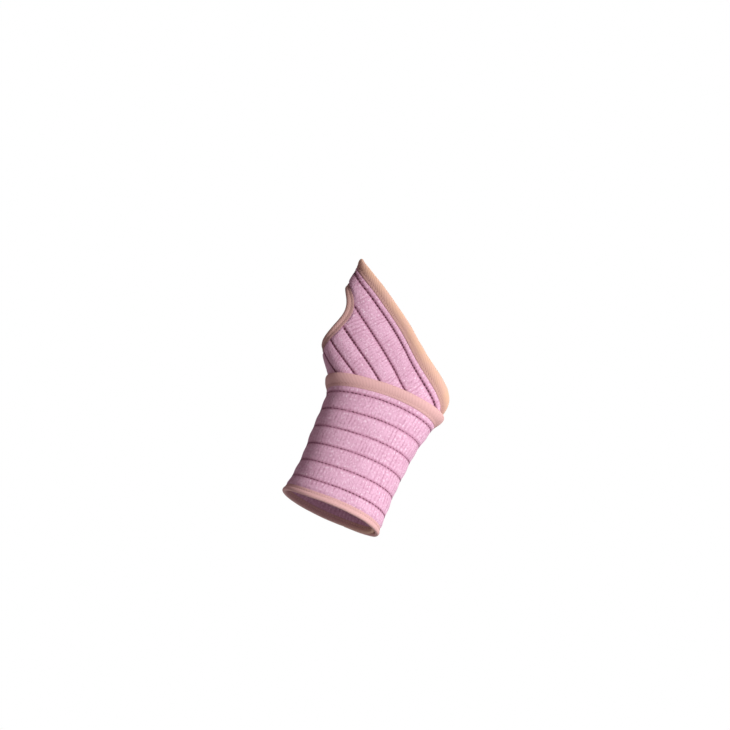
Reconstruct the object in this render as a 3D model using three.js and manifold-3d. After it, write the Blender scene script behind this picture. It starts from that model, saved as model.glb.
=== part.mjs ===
import * as THREE from "three";
import { mergeVertices } from "three/addons/utils/BufferGeometryUtils.js";
import Module from "manifold-3d";

// Wrist wrap for the right side, in millimetres: one long elastic strip with woven lengthwise lines.
// It starts at its inner end, passes its bound thumb hole, crosses the front of the wrap, passes
// round the lower part, and covers that part once more on the outside.
// +Z runs up the wrap, -Y is its front, where the strip crosses, and -X is the thumb hole's side.
// The origin is the middle of the lower part.

const wasm = await Module();
wasm.setup();

// The form that the inner layer follows, measured to the middle of its cloth.
const WRIST_WIDTH = 55;
const WRIST_DEPTH = 38.5;
const HAND_WIDTH = 94;
const HAND_DEPTH = 34;
const WRIST_HEIGHT = 37.8; // from the strip's lower edge up to the origin

// The strip.
const STRIP_WIDTH = 84; // edge to edge, tape included
const CLOTH = 1.3; // at the crown of a woven band
const GROOVE = 0.3; // how much lower a woven line lies, on each face
const CLOTH_UNDER_TAPE = 0.8;
const FIRST_LINE = 10.8; // from the upper edge
const LINE_PITCH = 12.2;

// The folded tape on the edges, and the room that pieces leave each other.
const TAPE = 0.5;
const UPPER_TAPE_WIDTH = 7.4;
const LOWER_TAPE_WIDTH = 5;
const END_TAPE_WIDTH = 5.5;
const HOLE_TAPE_WIDTH = 5.5;
const HOLE_TAPE_SLACK = 0.3; // how much looser the tape lies where it turns round the hole
const CLEARANCE = 0.3;

// The thumb hole, and the hook tab under the outer end.
const HOLE_ALONG = 45; // its middle, from the inner end
const HOLE_ACROSS = 43; // its middle, from the upper edge
const HOLE_LENGTH = 32;
const HOLE_WIDTH = 38;
const HOOK_LENGTH = 22;
const HOOK_WIDTH = 46;
const HOOK_THICKNESS = 1;
const HOOK_SETBACK = 8; // from the outer end

// Where the strip climbs onto its own first turn, in turns round the form.
const CLIMB_START = 0.7;
const CLIMB_END = 0.81;

// Facets.
const STEP_ALONG = 5.6;
const STEP_ROUND_THUMB = 4;
const STEPS_PER_BAND = 3;
const STEPS_IN_LAST_BAND = 2;
const SWELL = 0.7; // over this length the cloth swells from under the tape
const HOLE_STEPS = 40;
const PIECES_PER_ROW = 12; // of the strip's middle, when its length is measured

const TAPE_ROOM = CLOTH_UNDER_TAPE / 2 + CLEARANCE;
const TAPE_RISE = TAPE_ROOM + TAPE;
const LAYER_RISE = Math.max(2 * TAPE_RISE, CLOTH, CLOTH + HOOK_THICKNESS + CLEARANCE) + CLEARANCE;

const WRIST = { width: WRIST_WIDTH, depth: WRIST_DEPTH };
const HAND = { width: HAND_WIDTH, depth: HAND_DEPTH };

// Sections of the form. Height is a share of the strip's width, from its lower edge.
// The four half sizes are shares of the width and depth that the row's first column names.
// Square tells an ellipse (2) from a boxier outline (more than 2).
const SECTION_COLUMNS = ["of", "height", "thumbSide", "littleSide", "back", "palm", "square"];
const SECTIONS = [
  [WRIST, -0.10, 0.56, 0.54, 0.56, 0.56, 2.1],
  [WRIST, 0.00, 0.53, 0.52, 0.54, 0.54, 2.1],
  [WRIST, 0.14, 0.50, 0.51, 0.53, 0.52, 2.2],
  [WRIST, 0.31, 0.49, 0.50, 0.51, 0.50, 2.2],
  [WRIST, 0.50, 0.51, 0.51, 0.50, 0.50, 2.2],
  [WRIST, 0.69, 0.52, 0.53, 0.50, 0.52, 2.3],
  [WRIST, 0.82, 0.54, 0.57, 0.49, 0.54, 2.3],
  [WRIST, 0.90, 0.60, 0.60, 0.49, 0.56, 2.4],
  [HAND, 1.00, 0.43, 0.39, 0.54, 0.65, 2.4],
  [HAND, 1.12, 0.50, 0.42, 0.52, 0.63, 2.4],
  [HAND, 1.26, 0.53, 0.45, 0.49, 0.59, 2.4],
  [HAND, 1.43, 0.52, 0.48, 0.46, 0.53, 2.4],
  [HAND, 1.64, 0.52, 0.47, 0.43, 0.45, 2.4],
  [HAND, 1.88, 0.51, 0.46, 0.40, 0.40, 2.4],
].map((row) => named(SECTION_COLUMNS, row));

// Guides of the strip, one row for each place along it, from the inner end to the outer end.
// Turn counts turns round the form: 0 is the thumb hole's side, 0.25 the front and 0.75 the rear.
// Height is a share of the strip's width.
const GUIDE_COLUMNS = [
  "upperTurn", "upperHeight", "middleTurn", "middleHeight", "lowerTurn", "lowerHeight",
];
const GUIDES = [
  [-0.13, 1.72, -0.20, 1.41, -0.27, 1.06],
  [-0.04, 1.81, -0.12, 1.44, -0.20, 1.02],
  [0.01, 1.85, -0.08, 1.44, -0.16, 0.99],
  [0.06, 1.80, -0.03, 1.40, -0.12, 0.95],
  [0.11, 1.71, 0.02, 1.33, -0.07, 0.89],
  [0.16, 1.61, 0.07, 1.22, -0.02, 0.80],
  [0.25, 1.47, 0.15, 1.04, 0.06, 0.66],
  [0.33, 1.34, 0.23, 0.89, 0.14, 0.51],
  [0.40, 1.22, 0.31, 0.76, 0.21, 0.38],
  [0.47, 1.10, 0.39, 0.62, 0.29, 0.23],
  [0.53, 0.99, 0.47, 0.51, 0.39, 0.08],
  [0.61, 0.91, 0.56, 0.45, 0.50, 0.01],
  [0.72, 0.88, 0.69, 0.44, 0.66, -0.01],
  [0.90, 0.90, 0.90, 0.45, 0.90, -0.01],
  [1.03, 0.94, 1.03, 0.46, 1.03, 0.00],
  [1.15, 0.98, 1.15, 0.48, 1.15, 0.00],
  [1.25, 1.01, 1.25, 0.50, 1.25, 0.01],
  [1.38, 1.02, 1.38, 0.51, 1.38, 0.01],
  [1.48, 1.01, 1.48, 0.50, 1.48, -0.01],
  [1.68, 0.99, 1.68, 0.49, 1.68, -0.01],
].map((row) => named(GUIDE_COLUMNS, row));

function named(columns, row) {
  return Object.fromEntries(columns.map((column, i) => [column, row[i]]));
}

// A smooth curve through values at rising knots, straight beyond both ends.
function smoothCurve(knots, values) {
  const last = knots.length - 1;
  const spans = knots.slice(1).map((knot, i) => knot - knots[i]);
  const slopes = spans.map((span, i) => (values[i + 1] - values[i]) / span);
  const tangents = values.map((_, i) => {
    if (i === 0) return slopes[0];
    if (i === last) return slopes[last - 1];
    return (slopes[i - 1] * spans[i] + slopes[i] * spans[i - 1]) / (spans[i - 1] + spans[i]);
  });
  return (x) => {
    if (x <= knots[0]) return values[0] + tangents[0] * (x - knots[0]);
    if (x >= knots[last]) return values[last] + tangents[last] * (x - knots[last]);
    const i = knots.findIndex((knot) => knot > x) - 1;
    const f = (x - knots[i]) / spans[i];
    const rest = 1 - f;
    return values[i] * (1 + 2 * f) * rest * rest + tangents[i] * spans[i] * f * rest * rest
      + values[i + 1] * (3 - 2 * f) * f * f - tangents[i + 1] * spans[i] * f * f * rest;
  };
}

// The form: half sizes at each height, and a point of it for a turn and a height.
const sectionHeights = SECTIONS.map((row) => row.height * STRIP_WIDTH);
const sectionCurve = (value) => smoothCurve(sectionHeights, SECTIONS.map(value));
const thumbSide = sectionCurve((row) => row.thumbSide * row.of.width);
const littleSide = sectionCurve((row) => row.littleSide * row.of.width);
const backSide = sectionCurve((row) => row.back * row.of.depth);
const palmSide = sectionCurve((row) => row.palm * row.of.depth);
const squareness = sectionCurve((row) => row.square);

// Evens out the arc length of a turn on a flat section.
const EVENING = 0.45;

function formPoint(turn, height) {
  const [thumb, little, back, palm] = [thumbSide, littleSide, backSide, palmSide].map((f) => f(height));
  const power = squareness(height);
  const width = thumb + little;
  const depth = back + palm;
  const angle = 2 * Math.PI * turn
    + EVENING * (width - depth) / (width + depth) * Math.sin(4 * Math.PI * turn);
  const [c, s] = [Math.cos(angle), Math.sin(angle)];
  const reach = (Math.abs(c) ** power + Math.abs(s) ** power) ** (-1 / power);
  return new THREE.Vector3(-(c > 0 ? thumb : little) * c * reach, -(s > 0 ? back : palm) * s * reach, height);
}

function formNormal(turn, height) {
  const [dTurn, dHeight] = [0.001, 0.1];
  const round = formPoint(turn + dTurn, height).sub(formPoint(turn - dTurn, height));
  const up = formPoint(turn, height + dHeight).sub(formPoint(turn, height - dHeight));
  return round.cross(up).normalize();
}

// The guides as curves over the length along the strip's middle.
function guideCurves(knots) {
  const entries = GUIDE_COLUMNS.map((column) => [column, smoothCurve(knots, GUIDES.map((row) => row[column]))]);
  return Object.fromEntries(entries);
}

function middleKnots(curves, knots, pieces) {
  const point = (x) => formPoint(curves.middleTurn(x), curves.middleHeight(x) * STRIP_WIDTH);
  const lengths = [0];
  for (let row = 1; row < knots.length; row += 1) {
    let length = lengths[row - 1];
    for (let i = 0; i < pieces; i += 1) {
      const x = THREE.MathUtils.lerp(knots[row - 1], knots[row], i / pieces);
      const next = THREE.MathUtils.lerp(knots[row - 1], knots[row], (i + 1) / pieces);
      length += point(x).distanceTo(point(next));
    }
    lengths.push(length);
  }
  return lengths;
}

const rowNumbers = GUIDES.map((_, i) => i);
const firstKnots = middleKnots(guideCurves(rowNumbers), rowNumbers, 1);
const knots = middleKnots(guideCurves(firstKnots), firstKnots, PIECES_PER_ROW);
const guides = guideCurves(knots);
const STRIP_LENGTH = knots[knots.length - 1];

// Through the upper guide at 0, the middle guide at a half and the lower guide at 1.
function throughThree(upper, middle, lower, share) {
  return upper + (4 * middle - 3 * upper - lower) * share + 2 * (upper - 2 * middle + lower) * share * share;
}

function climb(turn) {
  return LAYER_RISE * THREE.MathUtils.smoothstep(turn, CLIMB_START, CLIMB_END);
}

// A point of the strip: lengths along and across it, and a rise above the middle of its cloth.
function stripPoint(along, across, rise) {
  const share = across / STRIP_WIDTH;
  const at = (key) => guides[key](along);
  const turn = throughThree(at("upperTurn"), at("middleTurn"), at("lowerTurn"), share);
  const height = throughThree(at("upperHeight"), at("middleHeight"), at("lowerHeight"), share) * STRIP_WIDTH;
  return formPoint(turn, height).addScaledVector(formNormal(turn, height), climb(turn) + rise);
}

// Even places from one length to another, no more than a step apart.
function evenly(from, to, step) {
  const count = Math.ceil((to - from) / step);
  return Array.from({ length: count + 1 }, (_, i) => THREE.MathUtils.lerp(from, to, i / count));
}

// Places along the strip that its facets share, from one raw end of the cloth to the other.
function placesAlong() {
  const swollen = END_TAPE_WIDTH + CLEARANCE + SWELL;
  const pastThumb = HOLE_ALONG + HOLE_LENGTH;
  const start = [TAPE + CLEARANCE, END_TAPE_WIDTH + CLEARANCE];
  return [
    ...start,
    ...evenly(swollen, pastThumb, STEP_ROUND_THUMB),
    ...evenly(pastThumb, STRIP_LENGTH - swollen, STEP_ALONG).slice(1),
    ...start.map((x) => STRIP_LENGTH - x).reverse(),
  ];
}

function wovenLines() {
  const last = STRIP_WIDTH - LOWER_TAPE_WIDTH - CLEARANCE - SWELL;
  const count = Math.floor((last - SWELL - FIRST_LINE) / LINE_PITCH) + 1;
  return Array.from({ length: count }, (_, i) => FIRST_LINE + i * LINE_PITCH);
}

// Places across the strip: under both tapes, at each woven line and between the lines.
function placesAcross() {
  const lines = wovenLines();
  const lowest = STRIP_WIDTH - LOWER_TAPE_WIDTH - CLEARANCE;
  const ends = [...lines, lowest - SWELL];
  const between = ends.slice(0, -1).flatMap((from, band) => {
    const steps = band === ends.length - 2 ? STEPS_IN_LAST_BAND : STEPS_PER_BAND;
    return Array.from({ length: steps }, (_, i) => THREE.MathUtils.lerp(from, ends[band + 1], i / steps));
  });
  const upperTape = UPPER_TAPE_WIDTH + CLEARANCE;
  return [
    TAPE + CLEARANCE, upperTape, upperTape + SWELL,
    ...between, lowest - SWELL, lowest, STRIP_WIDTH - TAPE - CLEARANCE,
  ];
}

const ALONG = placesAlong();
const ACROSS = placesAcross();
const LINES = wovenLines();

// Whether a place is in the thumb hole's outline, grown by a margin.
function inHole(along, across, margin) {
  const x = (along - HOLE_ALONG) / (HOLE_LENGTH / 2 + margin);
  const y = (across - HOLE_ACROSS) / (HOLE_WIDTH / 2 + margin);
  return x * x + y * y < 1;
}

// Half the cloth's thickness: thin under the tapes, lower at a woven line.
function clothHalf(along, across) {
  const fromEnd = Math.min(along, STRIP_LENGTH - along) - END_TAPE_WIDTH;
  const fromEdge = Math.min(across - UPPER_TAPE_WIDTH, STRIP_WIDTH - LOWER_TAPE_WIDTH - across);
  const underTape = Math.min(fromEnd, fromEdge) < CLEARANCE + SWELL / 2;
  if (underTape || inHole(along, across, HOLE_TAPE_WIDTH + STEP_ALONG)) return CLOTH_UNDER_TAPE / 2;
  const onLine = LINES.some((line) => Math.abs(line - across) < SWELL / 2);
  return CLOTH / 2 - (onLine ? GROOVE : 0);
}

function bodyFrom(points, triangles) {
  const geometry = new THREE.BufferGeometry();
  const positions = points.flatMap((point) => point.toArray());
  geometry.setAttribute("position", new THREE.Float32BufferAttribute(positions, 3));
  geometry.setIndex(triangles.flat());
  return geometry;
}

// Two triangles for four corners in order, folded along the steeper diagonal.
function fold(points, a, b, c, d) {
  const rise = (p, q) => Math.abs(points[p].z - points[q].z);
  return rise(a, c) >= rise(b, d) ? [[a, b, c], [a, c, d]] : [[a, b, d], [b, c, d]];
}

// A closed sheet over a grid of places, half its thickness above and half below.
function sheet(rows, columns, place, half) {
  const points = [];
  const count = columns.length;
  for (const side of [1, -1]) {
    rows.forEach((u) => columns.forEach((v) => points.push(place(u, v, side * half(u, v)))));
  }
  const under = rows.length * count;
  const at = (i, j) => i * count + j;
  const triangles = [];
  for (let i = 0; i < rows.length - 1; i += 1) {
    for (let j = 0; j < count - 1; j += 1) {
      const [a, b, c, d] = [at(i, j), at(i + 1, j), at(i + 1, j + 1), at(i, j + 1)];
      triangles.push(...fold(points, a, d, c, b));
      triangles.push(...fold(points, under + a, under + b, under + c, under + d));
    }
  }
  const rim = [
    ...rows.map((_, i) => at(i, 0)),
    ...columns.map((_, j) => at(rows.length - 1, j)).slice(1),
    ...rows.map((_, i) => at(i, count - 1)).reverse().slice(1),
    ...columns.map((_, j) => at(0, j)).reverse().slice(1, -1),
  ];
  rim.forEach((p, i) => {
    const q = rim[(i + 1) % rim.length];
    triangles.push([p, q, under + q], [p, under + q, under + p]);
  });
  return bodyFrom(points, triangles);
}

// A closed channel: a section of (inwards, rise) points carried through stations. A ring has no ends.
function channel(section, stations, place, isRing = false) {
  const count = section.length;
  const points = stations.flatMap((station) => section.map((corner) => place(station, corner)));
  const caps = isRing ? [] : THREE.ShapeUtils.triangulateShape(section, []);
  const end = (stations.length - 1) * count;
  const triangles = [
    ...caps.map(([a, b, c]) => [a, c, b]),
    ...caps.map(([a, b, c]) => [end + a, end + b, end + c]),
  ];
  for (let i = 0; i < stations.length - (isRing ? 0 : 1); i += 1) {
    const next = (i + 1) % stations.length;
    for (let j = 0; j < count; j += 1) {
      const k = (j + 1) % count;
      triangles.push(...fold(points, i * count + j, i * count + k, next * count + k, next * count + j));
    }
  }
  return bodyFrom(points, triangles);
}

// Section of a tape folded over an edge. x runs inwards from the fold, y is the rise.
function foldedTape(width, slack = 0) {
  const room = TAPE_ROOM + slack;
  const rise = room + TAPE;
  return [
    [width, rise], [TAPE, rise], [0, room], [0, -room], [TAPE, -rise],
    [width, -rise], [width, -room], [TAPE, -room], [TAPE, room], [width, room],
  ].map(([x, y]) => new THREE.Vector2(x, y));
}

// Where a mitre cuts a tape, as far from the corner as the place is inwards from the fold.
function mitre(inwards, width, crossingWidth) {
  return inwards * crossingWidth / width + CLEARANCE;
}

// A tape on one long edge. Stations run so that the section keeps its winding on either edge.
function edgeTape(width, acrossFor) {
  const [start, ...between] = ALONG.slice(1, -2);
  const end = ALONG[ALONG.length - 2];
  const stations = [start, ...between, end];
  if (acrossFor(1) > acrossFor(0)) stations.reverse();
  return channel(foldedTape(width), stations, (station, { x, y }) => {
    const cut = mitre(x, width, END_TAPE_WIDTH);
    const along = station === start ? cut : station === end ? STRIP_LENGTH - cut : station;
    return stripPoint(along, acrossFor(x), y);
  });
}

// A tape across one end.
function endTape(alongFor) {
  const [start, ...between] = ACROSS.slice(1, -2);
  const end = ACROSS[ACROSS.length - 2];
  const stations = [start, ...between, end];
  if (alongFor(1) < alongFor(0)) stations.reverse();
  return channel(foldedTape(END_TAPE_WIDTH), stations, (station, { x, y }) => {
    const upper = mitre(x, END_TAPE_WIDTH, UPPER_TAPE_WIDTH);
    const lower = STRIP_WIDTH - mitre(x, END_TAPE_WIDTH, LOWER_TAPE_WIDTH);
    const across = station === start ? upper : station === end ? lower : station;
    return stripPoint(alongFor(x), across, y);
  });
}

function solidFrom(geometry) {
  const merged = mergeVertices(geometry);
  return new wasm.Manifold(new wasm.Mesh({
    numProp: 3,
    vertProperties: new Float32Array(merged.getAttribute("position").array),
    triVerts: new Uint32Array(merged.index.array),
  }));
}

function geometryFrom(solid) {
  const { vertProperties, triVerts } = solid.getMesh();
  const geometry = new THREE.BufferGeometry();
  geometry.setAttribute("position", new THREE.Float32BufferAttribute(vertProperties, 3));
  geometry.setIndex(new THREE.Uint32BufferAttribute(triVerts, 1));
  return geometry;
}

// A place on the thumb hole's outline, grown outwards.
function holePlace(angle, outwards, rise) {
  const along = HOLE_ALONG + (HOLE_LENGTH / 2 + outwards) * Math.cos(angle);
  const across = HOLE_ACROSS + (HOLE_WIDTH / 2 + outwards) * Math.sin(angle);
  return stripPoint(along, across, rise);
}

// A plug through the strip, with the thumb hole's outline grown by a margin.
function holePlug(margin) {
  const grid = Array.from({ length: HOLE_STEPS / 4 + 1 }, (_, i) => -1 + 8 * i / HOLE_STEPS);
  const place = (x, y, rise) => {
    const [s, t] = [x * Math.sqrt(1 - y * y / 2), y * Math.sqrt(1 - x * x / 2)];
    return holePlace(Math.atan2(t, s), (Math.hypot(s, t) - 1) * HOLE_LENGTH / 2 + margin, rise);
  };
  return solidFrom(sheet(grid, grid, place, () => 2 * TAPE_RISE + CLOTH));
}

function elasticStrip() {
  const whole = solidFrom(sheet(ALONG, ACROSS, stripPoint, clothHalf));
  return geometryFrom(whole.subtract(holePlug(TAPE + CLEARANCE + HOLE_TAPE_SLACK)));
}

// The tape round the thumb hole, with one more fold line so that it follows the strip's curve.
function holeTape() {
  const middle = (TAPE + HOLE_TAPE_WIDTH) / 2;
  const section = foldedTape(HOLE_TAPE_WIDTH, HOLE_TAPE_SLACK).flatMap((corner, i, all) => {
    const next = all[(i + 1) % all.length];
    const isLeg = Math.abs(next.x - corner.x) > TAPE;
    return isLeg ? [corner, new THREE.Vector2(middle, corner.y)] : [corner];
  });
  const angles = Array.from({ length: HOLE_STEPS }, (_, i) => 2 * Math.PI * i / HOLE_STEPS);
  return channel(section, angles, (angle, { x, y }) => holePlace(angle, x, y), true);
}

function hookTab() {
  const from = STRIP_LENGTH - HOOK_SETBACK - HOOK_LENGTH;
  const top = (STRIP_WIDTH - HOOK_WIDTH) / 2;
  const middle = -LAYER_RISE / 2;
  const place = (along, across, rise) => stripPoint(along, across, middle + rise);
  const rows = evenly(from, from + HOOK_LENGTH, STEP_ALONG);
  const columns = evenly(top, top + HOOK_WIDTH, 2 * STEP_ALONG);
  return sheet(rows, columns, place, () => HOOK_THICKNESS / 2);
}

const CLOTH_FINISH = { color: 0xd9a3bf, roughness: 0.9 };
const TAPE_FINISH = { color: 0xe6b8ae, roughness: 0.8 };
const HOOK_FINISH = { color: 0xcf9fb2, roughness: 0.9 };

function piece(name, geometry, finish) {
  const mesh = new THREE.Mesh(geometry, new THREE.MeshStandardMaterial({ ...finish, metalness: 0 }));
  mesh.name = name;
  return mesh;
}

const wrap = new THREE.Group();
wrap.add(piece("elastic_strip", elasticStrip(), CLOTH_FINISH));
wrap.add(piece("distal_edge_binding", edgeTape(UPPER_TAPE_WIDTH, (x) => x), TAPE_FINISH));
wrap.add(piece("proximal_edge_binding", edgeTape(LOWER_TAPE_WIDTH, (x) => STRIP_WIDTH - x), TAPE_FINISH));
wrap.add(piece("palm_end_binding", endTape((x) => x), TAPE_FINISH));
wrap.add(piece("closure_end_binding", endTape((x) => STRIP_LENGTH - x), TAPE_FINISH));
wrap.add(piece("thumb_hole_binding", holeTape(), TAPE_FINISH));
wrap.add(piece("hook_tab", hookTab(), HOOK_FINISH));
wrap.position.z = -WRIST_HEIGHT;

export default wrap;
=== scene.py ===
"""Wrist wrap: a ribbed elastic strip with woven lines, folded tape and a hook tab.

Lengths are in metres. Along and across are measured on the strip: along runs from the inner end to
the outer end, across from the upper edge to the lower one, and rise stands off the cloth's middle.
"""

import logging
import math
from dataclasses import dataclass, field
from enum import Enum
from typing import Callable, Sequence

import bpy
import numpy as np
from mathutils import Matrix, Vector


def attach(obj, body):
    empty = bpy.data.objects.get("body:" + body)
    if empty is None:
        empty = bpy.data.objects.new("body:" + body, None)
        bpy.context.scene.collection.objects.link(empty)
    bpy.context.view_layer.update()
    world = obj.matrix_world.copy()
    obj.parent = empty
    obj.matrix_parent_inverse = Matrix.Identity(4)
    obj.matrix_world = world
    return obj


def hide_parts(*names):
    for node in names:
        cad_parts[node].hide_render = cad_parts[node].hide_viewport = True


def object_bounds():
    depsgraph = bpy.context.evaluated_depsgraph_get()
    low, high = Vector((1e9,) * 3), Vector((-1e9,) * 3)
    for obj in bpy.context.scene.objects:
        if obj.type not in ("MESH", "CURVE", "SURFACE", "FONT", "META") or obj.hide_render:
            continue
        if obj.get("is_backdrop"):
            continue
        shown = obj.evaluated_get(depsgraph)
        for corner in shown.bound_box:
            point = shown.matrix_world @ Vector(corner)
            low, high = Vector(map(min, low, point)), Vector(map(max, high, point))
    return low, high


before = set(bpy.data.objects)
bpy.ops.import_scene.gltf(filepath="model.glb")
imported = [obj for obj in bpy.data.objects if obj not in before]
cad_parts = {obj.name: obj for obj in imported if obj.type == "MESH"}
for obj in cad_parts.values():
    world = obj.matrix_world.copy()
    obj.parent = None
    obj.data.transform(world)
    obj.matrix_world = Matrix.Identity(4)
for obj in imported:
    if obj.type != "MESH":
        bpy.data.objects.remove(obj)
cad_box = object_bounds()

Array = np.ndarray
TapePlace = Callable[[Array, Array, Array], Array]
StitchPlace = Callable[[Array, Array], tuple[Array, Array, Array]]
LOG = logging.getLogger("wrist_wrap")
MM = 0.001
ROOT_BODY = "root"

STRIP_WIDTH = 84 * MM
UPPER_TAPE_WIDTH = 7.4 * MM
LOWER_TAPE_WIDTH = 5.0 * MM
END_TAPE_WIDTH = 5.5 * MM
HOLE_TAPE_WIDTH = 5.5 * MM
FIRST_LINE = 10.8 * MM  # from the upper edge
LINE_PITCH = 12.2 * MM
RIB_PITCH = 2.15 * MM
SEAM = 196 * MM  # from the inner end to where the two lengths of cloth meet
MOUNT_HEIGHT = 37.8 * MM  # from the lower edge up to the origin
UV_UNIT = 100 * MM  # one unit of the texture coordinates

MIX_SOCKETS = (0, 6, 7)  # a colour mix's share, first colour and second colour
MIX_RESULT = 2
SHEEN_ROUGHNESS = 0.5
SPECULAR = 0.25

# Sections of the form. Height is a share of the strip's width, from its lower edge. The four half
# sizes are shares of the broad part's width and depth (1), or of the oval part's (0). Square tells an
# ellipse (2) from a boxier outline (more than 2).
SECTION_COLUMNS = ("broad_part", "height", "hole_side", "plain_side", "front", "rear", "square")
SECTIONS = (
    (0, -0.10, 0.56, 0.54, 0.56, 0.56, 2.1),
    (0, 0.00, 0.53, 0.52, 0.54, 0.54, 2.1),
    (0, 0.14, 0.50, 0.51, 0.53, 0.52, 2.2),
    (0, 0.31, 0.49, 0.50, 0.51, 0.50, 2.2),
    (0, 0.50, 0.51, 0.51, 0.50, 0.50, 2.2),
    (0, 0.69, 0.52, 0.53, 0.50, 0.52, 2.3),
    (0, 0.82, 0.54, 0.57, 0.49, 0.54, 2.3),
    (0, 0.90, 0.60, 0.60, 0.49, 0.56, 2.4),
    (1, 1.00, 0.43, 0.39, 0.54, 0.65, 2.4),
    (1, 1.12, 0.50, 0.42, 0.52, 0.63, 2.4),
    (1, 1.26, 0.53, 0.45, 0.49, 0.59, 2.4),
    (1, 1.43, 0.52, 0.48, 0.46, 0.53, 2.4),
    (1, 1.64, 0.52, 0.47, 0.43, 0.45, 2.4),
    (1, 1.88, 0.51, 0.46, 0.40, 0.40, 2.4),
)

# Guides of the strip, one row for each place along it, from the inner end to the outer end. Turn counts
# turns round the form: 0 is the hole's side, 0.25 the front and 0.75 the rear. Height is a share of the
# strip's width.
GUIDE_COLUMNS = (
    "upper_turn", "upper_height", "middle_turn", "middle_height", "lower_turn", "lower_height",
)
GUIDES = (
    (-0.13, 1.72, -0.20, 1.41, -0.27, 1.06),
    (-0.04, 1.81, -0.12, 1.44, -0.20, 1.02),
    (0.01, 1.85, -0.08, 1.44, -0.16, 0.99),
    (0.06, 1.80, -0.03, 1.40, -0.12, 0.95),
    (0.11, 1.71, 0.02, 1.33, -0.07, 0.89),
    (0.16, 1.61, 0.07, 1.22, -0.02, 0.80),
    (0.25, 1.47, 0.15, 1.04, 0.06, 0.66),
    (0.33, 1.34, 0.23, 0.89, 0.14, 0.51),
    (0.40, 1.22, 0.31, 0.76, 0.21, 0.38),
    (0.47, 1.10, 0.39, 0.62, 0.29, 0.23),
    (0.53, 0.99, 0.47, 0.51, 0.39, 0.08),
    (0.61, 0.91, 0.56, 0.45, 0.50, 0.01),
    (0.72, 0.88, 0.69, 0.44, 0.66, -0.01),
    (0.90, 0.90, 0.90, 0.45, 0.90, -0.01),
    (1.03, 0.94, 1.03, 0.46, 1.03, 0.00),
    (1.15, 0.98, 1.15, 0.48, 1.15, 0.00),
    (1.25, 1.01, 1.25, 0.50, 1.25, 0.01),
    (1.38, 1.02, 1.38, 0.51, 1.38, 0.01),
    (1.48, 1.01, 1.48, 0.50, 1.48, -0.01),
    (1.68, 0.99, 1.68, 0.49, 1.68, -0.01),
)


class SmoothCurve:
    """A smooth curve through values at rising knots, straight beyond both ends."""

    def __init__(self, knots: Array, values: Array) -> None:
        """Works out a slope at each knot.

        Args:
            knots: Rising places.
            values: The curve's value at each place.
        """
        self.knots = np.asarray(knots, float)
        self.values = np.asarray(values, float)
        spans = np.diff(self.knots)
        slopes = np.diff(self.values) / spans
        inner = (slopes[:-1] * spans[1:] + slopes[1:] * spans[:-1]) / (spans[:-1] + spans[1:])
        self.slopes = np.concatenate([slopes[:1], inner, slopes[-1:]])

    def __call__(self, x: Array) -> Array:
        """Reads the curve.

        Args:
            x: Places to read it at.

        Returns:
            The value at each place.
        """
        x = np.asarray(x, float)
        inside = np.clip(x, self.knots[0], self.knots[-1])
        i = np.clip(np.searchsorted(self.knots, inside, side="right") - 1, 0, len(self.knots) - 2)
        span = self.knots[i + 1] - self.knots[i]
        f = (inside - self.knots[i]) / span
        rest = 1 - f
        curve = (
            self.values[i] * (1 + 2 * f) * rest**2
            + self.slopes[i] * span * f * rest**2
            + self.values[i + 1] * (3 - 2 * f) * f**2
            - self.slopes[i + 1] * span * f**2 * rest
        )
        beyond = x - inside
        return curve + beyond * np.where(beyond < 0, self.slopes[0], self.slopes[-1])


@dataclass(frozen=True)
class Waver:
    """Smooth noise over a plane, from -1 to 1, the same for the same seed."""

    seed: int
    cells: int = 97

    def __call__(self, x: Array, y: Array) -> Array:
        """Reads the noise.

        Args:
            x: First coordinate, one unit to a cell.
            y: Second coordinate, one unit to a cell.

        Returns:
            The noise at each place.
        """
        table = np.random.default_rng(self.seed).uniform(-1, 1, (self.cells, self.cells))
        x, y = np.broadcast_arrays(np.asarray(x, float), np.asarray(y, float))
        column, row = np.floor(x).astype(int), np.floor(y).astype(int)
        s, t = ease(x - column), ease(y - row)
        corner = [
            [table[(row + j) % self.cells, (column + i) % self.cells] for i in (0, 1)] for j in (0, 1)
        ]
        near = corner[0][0] * (1 - s) + corner[0][1] * s
        far = corner[1][0] * (1 - s) + corner[1][1] * s
        return near * (1 - t) + far * t


def ease(x: Array, low: float = 0.0, high: float = 1.0) -> Array:
    """Climbs smoothly from 0 at low to 1 at high.

    Args:
        x: Places to read.
        low: Where the climb starts.
        high: Where it ends.

    Returns:
        The eased share at each place.
    """
    share = np.clip((np.asarray(x, float) - low) / (high - low), 0, 1)
    return share * share * (3 - 2 * share)


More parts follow.
